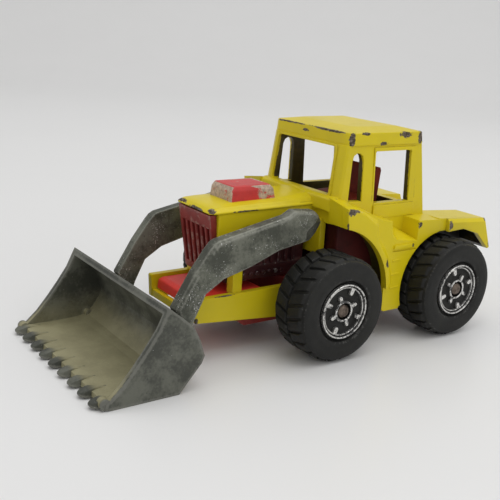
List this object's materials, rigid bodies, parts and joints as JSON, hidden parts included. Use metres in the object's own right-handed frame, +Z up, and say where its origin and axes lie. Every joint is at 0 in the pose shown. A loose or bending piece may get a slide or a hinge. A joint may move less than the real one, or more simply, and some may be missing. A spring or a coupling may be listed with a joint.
{
  "type": "toy wheel loader",
  "caption": "Small die-cast toy loader: open cab tractor with a lifting two-arm scoop at the front and four rolling wheels.",
  "frame": {"origin": "on the ground under the centre of the toy's bounding box", "axes": "+Z up, -Y towards the bucket, +X towards the driver's left-hand side"},
  "size_m": [0.0344, 0.0738, 0.0333],
  "materials": {
    "yellow_paint": "gloss enamel, chipped to dark zinc on the edges",
    "red_plastic": "moulded, scuffed pale on the corners",
    "dark_red_plastic": "moulded, in shade inside the casting",
    "bare_zinc": "unpainted die-cast zinc, dull and speckled",
    "tyre_black": "hard black moulding, satin",
    "hub_foil": "worn silver foil on black plastic",
    "axle_steel": "tarnished wire with spread ends"
  },
  "bodies": {
    "tractor": {"roof": "yellow_paint", "cab_frame": "yellow_paint", "hood": "yellow_paint", "cowl": "yellow_paint", "rear_deck": "yellow_paint", "front_frame": "yellow_paint", "body_side_left": "yellow_paint", "body_side_right": "yellow_paint", "rear_fender_left": "yellow_paint", "rear_fender_right": "yellow_paint", "engine_cover": "red_plastic", "grille": "red_plastic", "engine_block": "dark_red_plastic", "front_block": "red_plastic", "base_plate": "red_plastic", "base_rivet_front": "bare_zinc", "base_rivet_rear": "bare_zinc", "axle_carrier_front": "red_plastic", "axle_carrier_rear": "red_plastic", "interior_floor": "dark_red_plastic", "seat": "dark_red_plastic", "axle_front": "axle_steel", "axle_rear": "axle_steel"},
    "loader": {"arm_left": "bare_zinc", "arm_right": "bare_zinc", "bucket": "bare_zinc"},
    "wheel_front_left": {"tyre_front_left": "tyre_black", "hub_front_left": "hub_foil"},
    "wheel_front_right": {"tyre_front_right": "tyre_black", "hub_front_right": "hub_foil"},
    "wheel_rear_left": {"tyre_rear_left": "tyre_black", "hub_rear_left": "hub_foil"},
    "wheel_rear_right": {"tyre_rear_right": "tyre_black", "hub_rear_right": "hub_foil"}
  },
  "joints": [
    {"name": "loader_lift", "type": "hinge", "parent": "tractor", "child": "loader", "pos_m": [0, -0.0008, 0.0192], "axis": [-1, 0, 0], "range_deg": [0, 65]},
    {"name": "wheel_front_left_spin", "type": "hinge", "parent": "tractor", "child": "wheel_front_left", "pos_m": [0.01345, 0.0014, 0.008], "axis": [1, 0, 0], "continuous": true},
    {"name": "wheel_front_right_spin", "type": "hinge", "parent": "tractor", "child": "wheel_front_right", "pos_m": [-0.01345, 0.0014, 0.008], "axis": [1, 0, 0], "continuous": true},
    {"name": "wheel_rear_left_spin", "type": "hinge", "parent": "tractor", "child": "wheel_rear_left", "pos_m": [0.01345, 0.0256, 0.008], "axis": [1, 0, 0], "continuous": true},
    {"name": "wheel_rear_right_spin", "type": "hinge", "parent": "tractor", "child": "wheel_rear_right", "pos_m": [-0.01345, 0.0256, 0.008], "axis": [1, 0, 0], "continuous": true}
  ]
}
